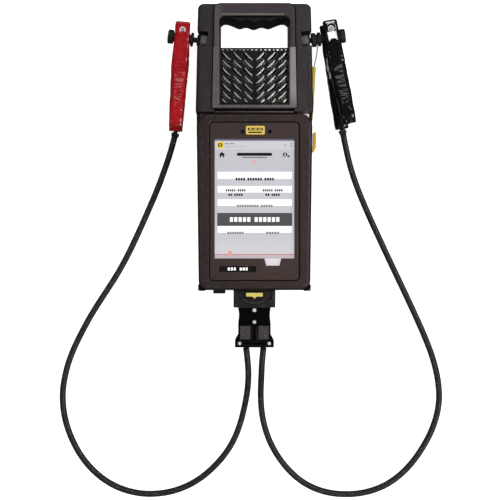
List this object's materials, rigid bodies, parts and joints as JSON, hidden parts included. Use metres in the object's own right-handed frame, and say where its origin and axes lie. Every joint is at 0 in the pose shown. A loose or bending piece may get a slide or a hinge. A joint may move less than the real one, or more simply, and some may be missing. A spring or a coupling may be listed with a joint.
{
  "type": "battery tester",
  "caption": "Handheld battery load tester with a touch screen, carry handle, louvred grille, plug-in lead set and sprung battery clamps parked on side pegs.",
  "frame": {"origin": "centre of the flat back face that the tester lies on", "axes": "+Z out of the screen, +Y towards the carry handle, +X to the right of the screen"},
  "size_m": [0.4768, 0.5993, 0.073],
  "materials": {
    "shell_dark": "fine textured",
    "shell_rail": "fine textured",
    "bezel_brown": "fine textured",
    "soft_rubber": "matte",
    "black_rubber": "satin",
    "black_plastic": "satin",
    "grey_plastic": "satin",
    "black_metal": "powder coat",
    "yellow_plastic": "gloss",
    "badge_yellow": "gloss",
    "plate_black": "gloss",
    "glass": "polished",
    "display": "lit",
    "tablet_metal": "anodised",
    "battery_foil": "foil",
    "board_green": "solder mask",
    "relay_black": "matte",
    "copper": "bare",
    "coil_wire": "oxidised",
    "ceramic": "bisque",
    "zinc_steel": "plated",
    "bright_screw": "polished",
    "red_vinyl": "gloss",
    "black_vinyl": "gloss",
    "lens_black": "gloss"
  },
  "bodies": {
    "root": {"rear_housing": "shell_dark", "housing_screws": "zinc_steel", "housing_seal": "soft_rubber", "upper_cover": "shell_dark", "handle_frame": "shell_rail", "grille_surround": "shell_rail", "handle_grip": "soft_rubber", "grille": "black_metal", "load_coils": "coil_wire", "coil_formers": "ceramic", "heat_shield": "zinc_steel", "front_frame": "shell_dark", "inner_bezel": "bezel_brown", "badge": "badge_yellow", "label_plate": "plate_black", "bezel_windows": "lens_black", "tablet_case": "tablet_metal", "screen_glass": "glass", "lcd_panel": "display", "tablet_battery": "battery_foil", "main_board": "board_green", "load_relay": "relay_black", "bus_bars": "copper", "port_jack": "zinc_steel", "corner_feet": "soft_rubber", "side_clip": "yellow_plastic", "stylus": "yellow_plastic", "stylus_tether": "black_rubber", "left_peg": "black_plastic", "right_peg": "black_plastic", "tether_loop": "black_rubber", "dock_shell": "black_plastic", "dock_contacts": "copper", "latch_springs": "zinc_steel", "red_rear_arm": "zinc_steel", "red_rear_sleeve": "red_vinyl", "black_rear_arm": "zinc_steel", "black_rear_sleeve": "black_vinyl", "rear_jaws": "copper", "lead_ferrules": "copper", "clamp_pins": "bright_screw", "clamp_springs": "zinc_steel"},
    "red_clamp": {"red_front_arm": "zinc_steel", "red_front_sleeve": "red_vinyl", "red_front_jaw": "copper"},
    "black_clamp": {"black_front_arm": "zinc_steel", "black_front_sleeve": "black_vinyl", "black_front_jaw": "copper"},
    "latch": {"latch_button": "yellow_plastic"},
    "lead_plug": {"plug_shell_rear": "black_plastic", "plug_shell_front": "black_plastic", "plug_panels": "grey_plastic", "strain_bar": "black_plastic", "plug_screws": "bright_screw", "plug_nose": "black_plastic", "plug_contacts": "copper", "plug_glands": "black_rubber", "red_lead": "black_rubber", "black_lead": "black_rubber"},
    "port_cap": {"port_cap": "soft_rubber"}
  },
  "joints": [
    {"name": "red_clamp_hinge", "type": "hinge", "parent": "root", "child": "red_clamp", "pos_m": [-0.09001, 0.09783, 0.04], "axis": [0.9946, -0.0704, -0.0767], "range_deg": [0, 28], "stiffness_Nm_per_rad": 2, "springref_deg": -17.19},
    {"name": "black_clamp_hinge", "type": "hinge", "parent": "root", "child": "black_clamp", "pos_m": [0.09799, 0.10027, 0.04], "axis": [0.9828, 0.1677, -0.0767], "range_deg": [0, 28], "stiffness_Nm_per_rad": 2, "springref_deg": -17.19},
    {"name": "latch_press", "type": "slide", "parent": "root", "child": "latch", "axis": [0, 0, -1], "range_m": [0, 0.0025], "stiffness_N_per_m": 600, "springref_m": -0.001},
    {"name": "lead_plug_pull", "type": "slide", "parent": "root", "child": "lead_plug", "axis": [0, -1, 0], "range_m": [0, 0.025]},
    {"name": "port_cap_pull", "type": "slide", "parent": "root", "child": "port_cap", "axis": [0, -1, 0], "range_m": [0, 0.012]}
  ]
}
